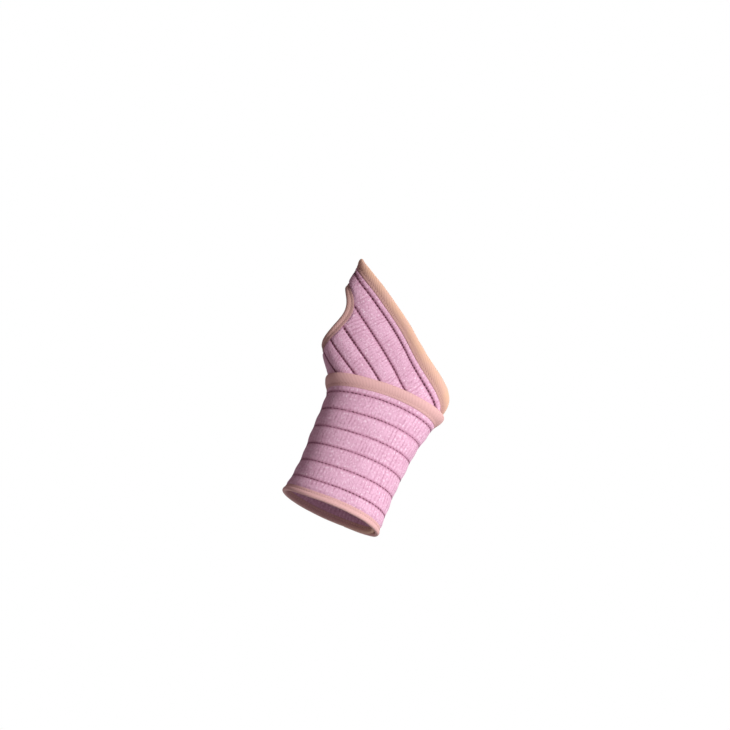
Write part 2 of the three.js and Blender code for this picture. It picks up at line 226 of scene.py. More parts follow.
@dataclass
class WornForm:
    """The form that the first turn follows, to the middle of its cloth: oval below, broad above."""

    oval_width: float = 55 * MM
    oval_depth: float = 38.5 * MM
    broad_width: float = 94 * MM
    broad_depth: float = 34 * MM
    strip_width: float = STRIP_WIDTH
    evening: float = 0.45  # evens out the arc length of a turn on a flat section
    curves: dict[str, SmoothCurve] = field(init=False)

    def __post_init__(self) -> None:
        """Turns the table of sections into curves over the height."""
        table = dict(zip(SECTION_COLUMNS, np.array(SECTIONS).T))
        heights = table["height"] * self.strip_width
        width = np.where(table["broad_part"] > 0, self.broad_width, self.oval_width)
        depth = np.where(table["broad_part"] > 0, self.broad_depth, self.oval_depth)
        follows = {"hole_side": width, "plain_side": width, "front": depth, "rear": depth, "square": 1}
        self.curves = {name: SmoothCurve(heights, table[name] * of) for name, of in follows.items()}

    def point(self, turn: Array, height: Array) -> Array:
        """Finds points of the form.

        Args:
            turn: Turns round the form, from the hole's side over the front.
            height: Height above the strip's lower edge.

        Returns:
            Points, one row of three for each place.
        """
        at = {name: curve(height) for name, curve in self.curves.items()}
        width = at["hole_side"] + at["plain_side"]
        depth = at["front"] + at["rear"]
        flatness = (width - depth) / (width + depth)
        angle = 2 * np.pi * turn + self.evening * flatness * np.sin(4 * np.pi * turn)
        c, s = np.cos(angle), np.sin(angle)
        reach = (np.abs(c) ** at["square"] + np.abs(s) ** at["square"]) ** (-1 / at["square"])
        x = -np.where(c > 0, at["hole_side"], at["plain_side"]) * c * reach
        y = -np.where(s > 0, at["front"], at["rear"]) * s * reach
        return np.stack(np.broadcast_arrays(x, y, height), axis=-1)

    def normal(self, turn: Array, height: Array) -> Array:
        """Finds the outward directions of the form at places of it."""
        step_turn, step_height = 0.001, 0.1 * MM
        around = self.point(turn + step_turn, height) - self.point(turn - step_turn, height)
        up = self.point(turn, height + step_height) - self.point(turn, height - step_height)
        out = np.cross(around, up)
        return out / np.linalg.norm(out, axis=-1, keepdims=True)


@dataclass
class StripPath:
    """The way that the strip takes: slanting down across the front, then twice round the oval part."""

    form: WornForm
    width: float = STRIP_WIDTH
    mount_height: float = MOUNT_HEIGHT
    layer_rise: float = 2.9 * MM
    climb_start: float = 0.7  # in turns
    climb_end: float = 0.81
    pieces_per_row: int = 12
    curves: dict[str, SmoothCurve] = field(init=False)
    length: float = field(init=False)

    def __post_init__(self) -> None:
        """Turns the table of guides into curves over the length of the strip's middle."""
        knots = np.arange(len(GUIDES), dtype=float)
        for pieces in (1, self.pieces_per_row):
            knots = self._lengths(knots, pieces)
        self.curves = self._curves(knots)
        self.length = float(knots[-1])

    def _curves(self, knots: Array) -> dict[str, SmoothCurve]:
        """Makes one curve for each column of the guides."""
        table = np.array(GUIDES).T
        return {name: SmoothCurve(knots, column) for name, column in zip(GUIDE_COLUMNS, table)}

    def _lengths(self, knots: Array, pieces: int) -> Array:
        """Measures the middle guide up to each row.

        Args:
            knots: The places that the rows have so far.
            pieces: Straight pieces between two rows.

        Returns:
            The length up to each row.
        """
        curves = self._curves(knots)
        rows = np.arange(len(knots))
        at = np.interp(np.arange((len(knots) - 1) * pieces + 1) / pieces, rows, knots)
        middle = self.form.point(curves["middle_turn"](at), curves["middle_height"](at) * self.width)
        steps = np.linalg.norm(np.diff(middle, axis=0), axis=1)
        return np.concatenate([[0.0], np.cumsum(steps)])[::pieces]

    def frame(self, along: Array, across: Array) -> tuple[Array, Array]:
        """Finds the cloth's middle and its outward direction.

        Args:
            along: Lengths along the strip.
            across: Lengths across it.

        Returns:
            Points, and unit directions.
        """
        at = {name: curve(along) for name, curve in self.curves.items()}
        share = across / self.width

        def through(kind: str) -> Array:
            """Runs from the upper guide through the middle one to the lower one."""
            upper, middle, lower = (at[f"{row}_{kind}"] for row in ("upper", "middle", "lower"))
            bend = 2 * (upper - 2 * middle + lower)
            return upper + (4 * middle - 3 * upper - lower) * share + bend * share**2

        turn = through("turn")
        height = through("height") * self.width
        out = self.form.normal(turn, height)
        climb = self.layer_rise * ease(turn, self.climb_start, self.climb_end)
        points = self.form.point(turn, height) + out * climb[..., None]
        return points - np.array([0, 0, self.mount_height]), out

    def place(self, along: Array, across: Array, rise: Array) -> Array:
        """Finds points that stand off the strip.

        Args:
            along: Lengths along the strip.
            across: Lengths across it.
            rise: How far each point stands off the cloth's middle.

        Returns:
            Points in the row frame.
        """
        along, across, rise = np.broadcast_arrays(along, across, rise)
        points, out = self.frame(along, across)
        return points + out * rise[..., None]


def quads_of_grid(rows: int, columns: int, ring: bool = False, tube: bool = False) -> Array:
    """Lists the faces of a grid of points.

    Args:
        rows: Rows of points.
        columns: Points in a row.
        ring: Whether the last row joins the first.
        tube: Whether the last column joins the first.

    Returns:
        Four point numbers for each face.
    """
    i = np.arange(rows if ring else rows - 1)[:, None]
    j = np.arange(columns if tube else columns - 1)[None, :]
    after_i, after_j = (i + 1) % rows, (j + 1) % columns
    corners = (i * columns + j, after_i * columns + j, after_i * columns + after_j, i * columns + after_j)
    return np.stack(np.broadcast_arrays(*corners), axis=-1).reshape(-1, 4)


def mesh_piece(
    name: str, points: Array, faces: Sequence[Array], uv: Array | None = None, shade: Array | None = None,
) -> bpy.types.Object:
    """Makes a smooth mesh object.

    Args:
        name: The piece's name.
        points: Its points, in rows of three.
        faces: Arrays of point numbers, one row for each face.
        uv: Two texture coordinates for each point.
        shade: One number for each point, kept as the attribute "relief".

    Returns:
        The object, linked to the scene.
    """
    mesh = bpy.data.meshes.new(name)
    rows = [row for block in faces for row in block.tolist()]
    mesh.from_pydata(points.reshape(-1, 3).tolist(), [], rows)
    mesh.polygons.foreach_set("use_smooth", np.ones(len(mesh.polygons), bool))
    if uv is not None:
        loops = np.empty(len(mesh.loops), np.int32)
        mesh.loops.foreach_get("vertex_index", loops)
        layer = mesh.uv_layers.new(name="strip")
        layer.data.foreach_set("uv", uv.reshape(-1, 2)[loops].ravel())
    if shade is not None:
        attribute = mesh.attributes.new("relief", "FLOAT", "POINT")
        attribute.data.foreach_set("value", np.asarray(shade, np.float32).ravel())
    mesh.update()
    piece = bpy.data.objects.new(name, mesh)
    bpy.context.scene.collection.objects.link(piece)
    return piece


def hand_over(piece: bpy.types.Object, slot: str, *nodes: str) -> bpy.types.Object:
    """Lets a piece ride on the wrap and stand for solids, whose parts it hides.

    Args:
        piece: The piece.
        slot: A material slot's name; not used.
        *nodes: The solids that it stands for.

    Returns:
        The same piece.
    """
    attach(piece, ROOT_BODY)
    if nodes:
        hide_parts(*nodes)
    return piece


@dataclass
class Graph:
    """The node tree of one material, with short ways to add nodes."""

    material: bpy.types.Material

    def add(self, kind: str, **settings: object) -> bpy.types.Node:
        """Adds a node and sets its options and unlinked inputs.

        Args:
            kind: The node's type, without the "ShaderNode" in front.
            **settings: Options by name; an input is named with underscores for spaces.

        Returns:
            The node.
        """
        node = self.material.node_tree.nodes.new("ShaderNode" + kind)
        for key, value in settings.items():
            if hasattr(node, key):
                setattr(node, key, value)
                continue
            self.feed(node.inputs[key.replace("_", " ")], value)
        return node

    def feed(self, socket: bpy.types.NodeSocket, value: object) -> None:
        """Links another socket to a socket, or gives it a plain value."""
        if isinstance(value, bpy.types.NodeSocket):
            self.material.node_tree.links.new(value, socket)
        else:
            socket.default_value = value

    def math(self, operation: str, *values: object) -> bpy.types.NodeSocket:
        """Adds a sum of sockets or numbers.

        Args:
            operation: Blender's name of the sum.
            *values: Its inputs, in order.

        Returns:
            The result.
        """
        node = self.add("Math", operation=operation)
        for socket, value in zip(node.inputs, values):
            self.feed(socket, value)
        return node.outputs[0]

    def between(self, value: bpy.types.NodeSocket, low: float, high: float) -> bpy.types.NodeSocket:
        """Maps a value so that low gives 0 and high gives 1, eased and kept inside."""
        node = self.add("MapRange", interpolation_type="SMOOTHSTEP", Value=value, From_Min=low, From_Max=high)
        return node.outputs[0]

    def blend(self, share: object, first: object, second: object) -> bpy.types.NodeSocket:
        """Blends two colours.

        Args:
            share: 0 for the first, 1 for the second.
            first: A socket or a colour.
            second: A socket or a colour.

        Returns:
            The blended colour.
        """
        node = self.add("Mix", data_type="RGBA")
        for number, value in zip(MIX_SOCKETS, (share, first, second)):
            self.feed(node.inputs[number], value)
        return node.outputs[MIX_RESULT]

    def noise(self, vector: bpy.types.NodeSocket, scale: float, detail: float = 2.0) -> bpy.types.NodeSocket:
        """Adds a noise texture read by a vector."""
        return self.add("TexNoise", Vector=vector, Scale=scale, Detail=detail).outputs[0]

    def two_parts(
        self, main: bpy.types.NodeSocket, other: bpy.types.NodeSocket, share: float,
    ) -> bpy.types.NodeSocket:
        """Adds two heights, of which the other one has the given share."""
        return self.math("ADD", self.math("MULTIPLY", main, 1 - share), self.math("MULTIPLY", other, share))

    def bump(self, height: bpy.types.NodeSocket, distance: float, strength: float) -> bpy.types.NodeSocket:
        """Turns a height into a normal."""
        return self.add("Bump", Height=height, Distance=distance, Strength=strength).outputs[0]


def opaque(red: float, green: float, blue: float) -> tuple[float, float, float, float]:
    """A linear colour with full cover."""
    return (red, green, blue, 1.0)


def surface(
    name: str, roughness: float, sheen: float, sheen_tint: Sequence[float],
) -> tuple[Graph, bpy.types.Node]:
    """Starts a cloth-like material.

    Args:
        name: The material's name.
        roughness: Its roughness.
        sheen: The weight of its soft sheen.
        sheen_tint: The sheen's colour.

    Returns:
        The material's graph, and its shader.
    """
    material = bpy.data.materials.new(name)
    material.use_nodes = True
    shader = material.node_tree.nodes["Principled BSDF"]
    shader.inputs["Roughness"].default_value = roughness
    shader.inputs["Sheen Weight"].default_value = sheen
    shader.inputs["Sheen Roughness"].default_value = SHEEN_ROUGHNESS
    shader.inputs["Sheen Tint"].default_value = sheen_tint
    shader.inputs["Specular IOR Level"].default_value = SPECULAR
    return Graph(material), shader


@dataclass(frozen=True)
class ElasticFinish:
    """Ribbed elastic knit in mauve pink, with painted shade in its rib valleys and painted light and glints
    on its crests.

    Lengths are in mm, and scales count to the texture's unit. A span says where a noise or the relief
    starts to show and where it shows fully.
    """

    name: str = "elastic_knit"
    roughness: float = 0.85
    sheen: float = 0.15
    sheen_tint: tuple[float, ...] = opaque(1.0, 0.75, 0.85)
    # Crest and valley colours: the knit's pale warp with painted light on the rib crests, and painted shade
    # in the rib valleys; the valley colour also darkens the random patches.
    crest: tuple[float, ...] = opaque(0.77, 0.46, 0.63)
    valley: tuple[float, ...] = opaque(0.57, 0.285, 0.42)
    # Painted glint: a pale colour laid as small flecks on the raised crests only.
    glint: tuple[float, ...] = opaque(0.95, 0.76, 0.88)
    # Painted shadow: a dark colour laid as small specks in the rib valleys only.
    shade_dot: tuple[float, ...] = opaque(0.42, 0.17, 0.27)
    groove: tuple[float, ...] = opaque(0.19, 0.05, 0.1)
    rib_shade_span: tuple[float, float] = (0.1, 0.95)
    first_line: float = FIRST_LINE / MM
    line_pitch: float = LINE_PITCH / MM
    bold_groove: float = 0.9
    fine_groove: float = 0.55
    groove_core: float = 0.3
    cover: float = 0.68
    fine_fade: float = 0.3
    bold_until: float = 185.0
    fine_from: float = 215.0
    break_scale: float = 30.0
    break_span: tuple[float, float] = (0.4, 0.6)
    break_share: float = 0.3
    tinge_scale: float = 9.0
    tinge_span: tuple[float, float] = (0.42, 0.7)
    tinge_share: float = 0.35
    mottle_scale: float = 75.0
    mottle_span: tuple[float, float] = (0.42, 0.66)
    mottle_share: float = 0.5
    patch_detail: float = 3.0
    thread_scale: tuple[float, ...] = (150.0, 62.0, 1.0)
    thread_detail: float = 1.5
    glint_span: tuple[float, float] = (0.56, 0.7)
    glint_relief: tuple[float, float] = (0.3, 0.8)
    glint_share: float = 0.75
    shade_dot_span: tuple[float, float] = (0.48, 0.32)
    shade_dot_relief: tuple[float, float] = (0.4, 0.9)
    shade_dot_share: float = 0.6
    loop_scale: tuple[float, ...] = (200.0, 130.0, 1.0)
    fuzz_scale: float = 900.0
    fuzz_share: float = 0.3
    bump_depth: float = 0.3 * MM
    bump_strength: float = 0.7

    def make(self) -> bpy.types.Material:
        """Builds the material.

        Returns:
            The material. It reads the strip's own lengths, in the texture's unit, and the relief.
        """
        graph, shader = surface(self.name, self.roughness, self.sheen, self.sheen_tint)
        place = graph.add("UVMap", uv_map="strip").outputs[0]
        parts = graph.add("SeparateXYZ", Vector=place)
        along, across = (graph.math("MULTIPLY", part, UV_UNIT / MM) for part in parts.outputs[:2])
        relief = graph.add("Attribute", attribute_name="relief").outputs["Fac"]
        # Painted shade in the rib valleys and painted light on the crests, following the relief.
        colour = graph.blend(graph.between(relief, *self.rib_shade_span), self.valley, self.crest)
        patches = graph.between(graph.noise(place, self.tinge_scale, self.patch_detail), *self.tinge_span)
        colour = graph.blend(graph.math("MULTIPLY", patches, self.tinge_share), colour, self.valley)
        mottle = graph.between(graph.noise(place, self.mottle_scale, self.patch_detail), *self.mottle_span)
        colour = graph.blend(graph.math("MULTIPLY", mottle, self.mottle_share), colour, self.valley)
        dashes = graph.add("Mapping", Vector=place, Scale=self.thread_scale).outputs[0]
        thread = graph.noise(dashes, 1.0, self.thread_detail)
        # Painted glints: small bright flecks on the raised crests only.
        raised = graph.between(relief, *self.glint_relief)
        bright = graph.math("MULTIPLY", graph.between(thread, *self.glint_span), raised)
        colour = graph.blend(graph.math("MULTIPLY", bright, self.glint_share), colour, self.glint)
        # Painted shadow specks: small dark flecks in the rib valleys only.
        shut = graph.math("SUBTRACT", 1.0, graph.between(relief, *self.shade_dot_relief))
        deep = graph.math("MULTIPLY", graph.between(thread, *self.shade_dot_span), shut)
        colour = graph.blend(graph.math("MULTIPLY", deep, self.shade_dot_share), colour, self.shade_dot)
        colour = graph.blend(self._line(graph, place, along, across), colour, self.groove)
        graph.feed(shader.inputs["Base Color"], colour)
        loops = graph.add("Mapping", Vector=place, Scale=self.loop_scale).outputs[0]
        knit = graph.add("TexVoronoi", Vector=loops, Scale=1.0).outputs[0]
        height = graph.two_parts(knit, graph.noise(place, self.fuzz_scale), self.fuzz_share)
        graph.feed(shader.inputs["Normal"], graph.bump(height, self.bump_depth, self.bump_strength))
        return graph.material

    def _line(
        self, graph: Graph, place: bpy.types.NodeSocket, along: bpy.types.NodeSocket,
        across: bpy.types.NodeSocket,
    ) -> bpy.types.NodeSocket:
        """Finds how much each place belongs to a woven line.

        Args:
            graph: The material's graph.
            place: The place on the strip, in the texture's unit.
            along: The length along the strip, in mm.
            across: The length across it, in mm.

        Returns:
            0 off the lines, up to the cover in their middle.
        """
        turns = graph.math("DIVIDE", graph.math("SUBTRACT", across, self.first_line), self.line_pitch)
        nearest = graph.math("ABSOLUTE", graph.math("SUBTRACT", turns, graph.math("ROUND", turns)))
        away = graph.math("MULTIPLY", nearest, self.line_pitch)
        thin = graph.between(along, self.bold_until, self.fine_from)
        half = graph.math("SUBTRACT", self.bold_groove, graph.math(
            "MULTIPLY", thin, self.bold_groove - self.fine_groove))
        beside = graph.between(graph.math("DIVIDE", away, half), self.groove_core, 1.0)
        near = graph.math("SUBTRACT", 1.0, beside)
        gaps = graph.between(graph.noise(place, self.break_scale), *self.break_span)
        broken = graph.math("MULTIPLY", gaps, self.break_share)
        fainter = graph.math("MULTIPLY", thin, graph.math("ADD", self.fine_fade, broken))
        return graph.math("MULTIPLY", near, graph.math("SUBTRACT", self.cover, fainter))


@dataclass(frozen=True)
class TapeFinish:
    """Folded twill tape in peach, paler on its rolled edge and darker at its stitched margin, where the
    darkening is painted shade.

    Lengths are in mm, and scales count to the texture's unit.
    """

    name: str = "folded_tape"
    rolled: tuple[float, ...] = opaque(0.76, 0.475, 0.335)
    blush: tuple[float, ...] = opaque(0.71, 0.42, 0.43)
    # The margin colour is painted shade on the stitched margin, and also the darker tone of the twill.
    margin: tuple[float, ...] = opaque(0.47, 0.265, 0.255)
    margin_start: float = 1.4
    margin_end: float = 7.2
    margin_shade_share: float = 0.8
    margin_shade_fade: float = 0.45
    blush_from: float = 175.0
    blush_until: float = 215.0
    blush_share: float = 0.9
    wander_scale: float = 14.0
    wander_span: tuple[float, float] = (0.35, 0.65)
    wander_share: float = 0.3
    twill_lines: float = 0.26
    twill_turn: float = 0.7
    twill_bend: float = 1.2
    twill_detail: float = 1.0
    twill_share: float = 0.16
    fuzz_scale: float = 700.0
    fuzz_share: float = 0.3
    bump_depth: float = 0.2 * MM
    bump_strength: float = 0.5
    roughness: float = 0.8
    sheen: float = 0.12
    sheen_tint: tuple[float, ...] = opaque(1.0, 0.85, 0.75)

    def make(self) -> bpy.types.Material:
        """Builds the material.

        Returns:
            The material. It reads the lengths along the tape and inwards from its fold.
        """
        graph, shader = surface(self.name, self.roughness, self.sheen, self.sheen_tint)
        place = graph.add("UVMap", uv_map="strip").outputs[0]
        parts = graph.add("SeparateXYZ", Vector=place)
        along, inwards = (graph.math("MULTIPLY", part, UV_UNIT / MM) for part in parts.outputs[:2])
        later = graph.between(along, self.blush_from, self.blush_until)
        patches = graph.between(graph.noise(place, self.wander_scale), *self.wander_span)
        wander = graph.math("MULTIPLY", patches, self.wander_share)
        pink = graph.math("MAXIMUM", wander, graph.math("MULTIPLY", later, self.blush_share))
        colour = graph.blend(pink, self.rolled, self.blush)
        # Painted shade: the stitched margin darkens towards the tape's inner edge, less further along the
        # strip.
        sewn = graph.between(inwards, self.margin_start, self.margin_end)
        margin_shade_depth = graph.math("SUBTRACT", self.margin_shade_share, graph.math("MULTIPLY", later, self.margin_shade_fade))
        colour = graph.blend(graph.math("MULTIPLY", sewn, margin_shade_depth), colour, self.margin)
        in_mm = (UV_UNIT / MM, UV_UNIT / MM, 1.0)
        turned = graph.add("Mapping", Vector=place, Scale=in_mm, Rotation=(0, 0, self.twill_turn)).outputs[0]
        twill = graph.add(
            "TexWave", Vector=turned, Scale=self.twill_lines, Distortion=self.twill_bend,
            Detail=self.twill_detail,
        ).outputs[1]
        colour = graph.blend(graph.math("MULTIPLY", twill, self.twill_share), colour, self.margin)
        graph.feed(shader.inputs["Base Color"], colour)
        height = graph.two_parts(twill, graph.noise(place, self.fuzz_scale), self.fuzz_share)
        graph.feed(shader.inputs["Normal"], graph.bump(height, self.bump_depth, self.bump_strength))
        return graph.material


@dataclass(frozen=True)
class YarnFinish:
    """Twisted yarn of one colour."""

    name: str
    colour: tuple[float, ...]
    shadow: tuple[float, ...]
    roughness: float = 0.75
    sheen: float = 0.2
    sheen_tint: tuple[float, ...] = opaque(1.0, 0.9, 0.9)
    strand_scale: float = 1400.0
    strand_span: tuple[float, float] = (0.35, 0.65)
    bump_depth: float = 0.15 * MM
    bump_strength: float = 0.6

    def make(self) -> bpy.types.Material:
        """Builds the material."""
        graph, shader = surface(self.name, self.roughness, self.sheen, self.sheen_tint)
        place = graph.add("TexCoord").outputs["Object"]
        strands = graph.noise(place, self.strand_scale)
        colour = graph.blend(graph.between(strands, *self.strand_span), self.shadow, self.colour)
        graph.feed(shader.inputs["Base Color"], colour)
        graph.feed(shader.inputs["Normal"], graph.bump(strands, self.bump_depth, self.bump_strength))
        return graph.material


BOLD_YARN = YarnFinish("maroon_yarn", opaque(0.15, 0.032, 0.07), opaque(0.075, 0.014, 0.034))
FINE_YARN = YarnFinish("dusky_yarn", opaque(0.21, 0.07, 0.115), opaque(0.12, 0.035, 0.06))
THREAD = YarnFinish("tape_thread", opaque(0.5, 0.28, 0.27), opaque(0.36, 0.18, 0.18))
HOOK_YARN = YarnFinish("hook_tape", opaque(0.6, 0.34, 0.45), opaque(0.42, 0.2, 0.3))
EDGE_TAPE = TapeFinish()
# The thumb hole's tape is a darker copy of the edge tape: painted shadow.
HOLE_TAPE = TapeFinish("shaded_hole_tape", opaque(0.56, 0.34, 0.3), margin=opaque(0.33, 0.175, 0.18))


@dataclass(frozen=True)
class PlainFinish:
    """A matt, even surface for the floor."""

    name: str = "pale_floor"
    colour: tuple[float, ...] = opaque(0.92, 0.9, 0.89)
    paler: tuple[float, ...] = opaque(0.95, 0.93, 0.92)
    roughness: float = 0.9
    grain_scale: float = 30.0
    grain_detail: float = 3.0
    grain_span: tuple[float, float] = (0.2, 0.8)

    def make(self) -> bpy.types.Material:
        """Builds the material."""
        graph, shader = surface(self.name, self.roughness, 0.0, opaque(1, 1, 1))
        place = graph.add("TexCoord").outputs["Object"]
        grain = graph.noise(place, self.grain_scale, self.grain_detail)
        shaded = graph.blend(graph.between(grain, *self.grain_span), self.colour, self.paler)
        graph.feed(shader.inputs["Base Color"], shaded)
        return graph.material


@dataclass
class ElasticStrip:
    """The long ribbed strip, made as two lengths of cloth that meet under the outer turn."""

    path: StripPath
    cloth: float = 1.3 * MM
    under_tape: float = 0.8 * MM
    raw_edge: float = 0.8 * MM
    upper_tape: float = UPPER_TAPE_WIDTH
    lower_tape: float = LOWER_TAPE_WIDTH
    end_tape: float = END_TAPE_WIDTH
    hole_tape: float = HOLE_TAPE_WIDTH
    swell: float = 1.1 * MM
    first_line: float = FIRST_LINE
    line_pitch: float = LINE_PITCH
    line_count: int = 6
    groove: float = 0.36 * MM
    groove_half: float = 0.75 * MM
    groove_slope: tuple[float, float] = (0.45, 1.7)  # shares of its half width
    slackening: tuple[float, float] = (185 * MM, 215 * MM)
    slack_share: float = 0.4
    puff: float = 0.42 * MM
    rib_pitch: float = RIB_PITCH
    rib_wander: float = 13 * MM
    rib_height: float = 0.3 * MM
    rib_sharpness: float = 1.7
    rib_drift: float = 0.4  # a share of the pitch, as is the shiver
    rib_shiver: float = 0.1
    rib_strength: tuple[float, float] = (0.62, 0.38)  # middle and swing
    rib_start: tuple[float, float] = (0.5, 2.0)  # shares of the groove's half width
    clump_along: float = 9 * MM
    clump_across: float = 6 * MM
    clump_strength: tuple[float, float] = (0.75, 0.25)  # middle and swing
    inner_ribs: float = 0.5
    inner_relief: float = 0.6
    hole_along: float = 45 * MM
    hole_across: float = 43 * MM
    hole_length: float = 32 * MM
    hole_width: float = 38 * MM
    seam: float = SEAM
    step_along: float = 0.44 * MM
    step_across: float = 0.85 * MM

    def lines(self) -> Array:
        """The places of the woven lines, across the strip."""
        return self.first_line + self.line_pitch * np.arange(self.line_count)

    def from_line(self, across: Array) -> Array:
        """How far each place lies from the nearest woven line."""
        return np.abs(across[..., None] - self.lines()).min(axis=-1)

    def beyond_hole(self, along: Array, across: Array) -> Array:
        """About how far each place lies outside the thumb hole's edge."""
        x, y = along - self.hole_along, across - self.hole_across
        far = np.hypot(x, y) + 1e-9
        edge = 1 / np.hypot(x / far / (self.hole_length / 2), y / far / (self.hole_width / 2))
        return far - edge

    def half(self, along: Array, across: Array) -> Array:
        """Finds half the cloth's thickness without its ribs.

        Args:
            along: Lengths along the strip.
            across: Lengths across it.

        Returns:
            Half thicknesses.
        """
        clear = np.minimum.reduce([
            across - self.upper_tape,
            self.path.width - self.lower_tape - across,
            along - self.end_tape,
            self.path.length - self.end_tape - along,
            self.beyond_hole(along, across) - self.hole_tape,
        ])
        open_cloth = ease(clear, 0.0, self.swell)
        away = self.from_line(across)
        slack = self.slack_share * ease(along, *self.slackening)
        reach = self.groove_half * (1 - slack)
        floor, brim = (share * reach for share in self.groove_slope)
        valley = (1 - slack) * (1 - ease(away, floor, brim))
        crown = ease(away, 0.0, self.line_pitch / 2)
        full = self.cloth / 2 - self.groove * valley + self.puff * crown * open_cloth
        thin = self.under_tape / 2
        return thin + (full - thin) * open_cloth

    def ribs(self, along: Array, across: Array) -> Array:
        """Finds the height of the crosswise ribs, from 0 to 1.

        Args:
            along: Lengths along the strip.
            across: Lengths across it.

        Returns:
            Shares of the rib height.
        """
        band = np.floor((across - self.first_line) / self.line_pitch)
        # The odd factors give each band and each rib a stretch of the noise of its own.
        shift = Waver(3)(band * 3.7, 0.0) + self.rib_drift * Waver(5)(along / self.rib_wander, band * 5.3)
        shiver = self.rib_shiver * Waver(7)(along / self.rib_pitch, across / self.rib_pitch + band * 11.0)
        phase = along / self.rib_pitch + shift + shiver
        furrow = (0.5 - 0.5 * np.cos(2 * np.pi * phase)) ** self.rib_sharpness
        number = np.floor(phase) * 1.37
        middle, swing = self.rib_strength
        strength = middle + swing * Waver(9)(number, across / (2 * self.rib_pitch) + band * 7.0)
        middle, swing = self.clump_strength
        clump = middle + swing * Waver(11)(along / self.clump_along, across / self.clump_across)
        start, full = (share * self.groove_half for share in self.rib_start)
        return (1 - furrow * strength * clump) * ease(self.from_line(across), start, full)

    def length_of_cloth(self, name: str, start: float, end: float) -> bpy.types.Object:
        """Builds one length of the strip as a closed sheet.

        Args:
            name: The piece's name.
            start: Where it starts along the strip.
            end: Where it ends.

        Returns:
            The piece.
        """
        rows = math.ceil((end - start) / self.step_along) + 1
        columns = math.ceil((self.path.width - 2 * self.raw_edge) / self.step_across) + 1
        along, across = np.meshgrid(
            np.linspace(start, end, rows),
            np.linspace(self.raw_edge, self.path.width - self.raw_edge, columns),
            indexing="ij",
        )
        half, ribs = self.half(along, across), self.ribs(along, across)
        open_cloth = ease(half, self.under_tape / 2, self.cloth / 2 - self.groove)
        raised = self.rib_height * (ribs - 0.5) * open_cloth
        outer = self.path.place(along, across, half + raised)
        inner_half = np.minimum(half, self.cloth / 2)
        inner = self.path.place(along, across, -inner_half - self.inner_ribs * raised)
        points = np.concatenate([outer.reshape(-1, 3), inner.reshape(-1, 3)])
        faces = self._closed_faces(along, across)
        uv = np.tile(np.stack([along, across], axis=-1).reshape(-1, 2) / UV_UNIT, (2, 1))
        relief = np.concatenate([ribs.ravel(), self.inner_relief * ribs.ravel()])
        return mesh_piece(name, points, faces, uv, relief)

    def _closed_faces(self, along: Array, across: Array) -> list[Array]:
        """Lists the faces of both sides and of every rim, without the thumb hole."""
        rows, columns = along.shape
        quads = quads_of_grid(rows, columns)
        middle = [grid.ravel()[quads].mean(axis=1) for grid in (along, across)]
        kept = quads[self.beyond_hole(*middle) > 2 * self.raw_edge]
        under = rows * columns
        edges = np.concatenate([kept[:, [k, (k + 1) % 4]] for k in range(4)])
        key = edges[:, 0].astype(np.int64) * under + edges[:, 1]
        back = edges[:, 1].astype(np.int64) * under + edges[:, 0]
        rim = edges[~np.isin(key, back)]
        walls = np.stack([rim[:, 0], rim[:, 1], rim[:, 1] + under, rim[:, 0] + under], axis=1)
        return [kept[:, ::-1], kept + under, walls]

    def make(self) -> list[bpy.types.Object]:
        """Builds and dresses both lengths of cloth.

        Returns:
            The two pieces.
        """
        ends = (self.raw_edge, self.seam, self.path.length - self.raw_edge)
        names = ("strip_crossing", "strip_outer_turn")
        finish = ElasticFinish().make()
        pieces = []
        for name, start, end in zip(names, ends, ends[1:]):
            piece = self.length_of_cloth(name, start, end)
            piece.data.materials.append(finish)
            pieces.append(hand_over(piece, "elastic_cloth", "elastic_strip"))
        return pieces


@dataclass
class Stitches:
    """Rows of short bars of yarn that lie on the strip, all in one mesh."""

    path: StripPath
    rings: tuple[tuple[float, float], ...] = ((-1, 0.3), (-0.7, 0.85), (0, 1), (0.7, 0.85), (1, 0.3))
    sides: int = 6

    def build(
        self, name: str, along: Array, across: Array, rise: Array, size: Array, slant: Array,
    ) -> bpy.types.Object:
        """Builds the bars.

        Args:
            name: The piece's name.
            along: Where each bar's middle lies along the strip.
            across: Where it lies across.
            rise: Its middle's rise.
            size: Half the length, width and height of each bar, in rows of three.
            slant: The turn of each bar off the strip's length, in radians.

        Returns:
            The piece.
        """
        steps, swells = (np.array(column, float) for column in zip(*self.rings))
        angle = 2 * np.pi * np.arange(self.sides) / self.sides
        forward = steps[None, :, None] * size[:, 0, None, None] + 0 * angle[None, None, :]
        side = swells[None, :, None] * size[:, 1, None, None] * np.cos(angle)[None, None, :]
        lift = swells[None, :, None] * size[:, 2, None, None] * np.sin(angle)[None, None, :]
        c, s = np.cos(slant)[:, None, None], np.sin(slant)[:, None, None]
        points = self.path.place(
            along[:, None, None] + forward * c - side * s,
            across[:, None, None] + forward * s + side * c,
            rise[:, None, None] + lift,
        )
        ring_count = len(self.rings)
        one = quads_of_grid(ring_count, self.sides, tube=True)
        offsets = np.arange(len(along))[:, None, None] * ring_count * self.sides
        quads = (one[None] + offsets).reshape(-1, 4)
        first = np.arange(self.sides)[None, None]
        last = first[..., ::-1] + (ring_count - 1) * self.sides
        caps = [(end + offsets).reshape(-1, self.sides) for end in (first, last)]
        return mesh_piece(name, points, [quads, *caps])


@dataclass(frozen=True)
class LineYarn:
    """The yarn of the woven lines over one stretch of the strip."""

    name: str
    start: float
    end: float
    width: float
    finish: YarnFinish


